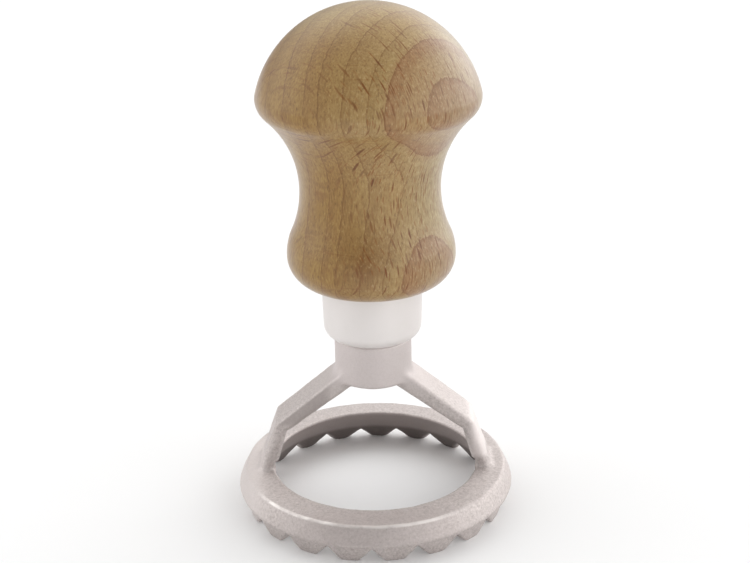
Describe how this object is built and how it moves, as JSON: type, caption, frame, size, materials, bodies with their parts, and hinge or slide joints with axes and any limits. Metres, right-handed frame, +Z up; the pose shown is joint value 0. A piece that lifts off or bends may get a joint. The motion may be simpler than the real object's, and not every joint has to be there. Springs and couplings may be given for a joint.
{
  "type": "pastry stamp cutter",
  "caption": "Round hand stamp for cutting and crimping filled pastry, with a turned beech knob, a drawn metal cup and a one-piece cast arched frame with a toothed ring.",
  "frame": {"origin": "centre of the toothed ring on the plane of the tooth tips, which is the bottom centre of the bounding box", "axes": "+Z up along the handle, the two arms lie along X, the front of the tool faces -Y"},
  "size_m": [0.065, 0.065, 0.1177],
  "materials": {
    "beech": "turned beech, clear satin lacquer",
    "drawn_aluminium": "smooth satin",
    "cast_aluminium": "fine as-cast grain, matt",
    "zinc_steel": "zinc plated",
    "washer_steel": "zinc plated"
  },
  "bodies": {
    "root": {"beech_handle": "beech", "ferrule": "drawn_aluminium", "cutter_frame": "cast_aluminium", "fixing_screw": "zinc_steel", "plain_washer": "washer_steel"}
  },
  "joints": []
}
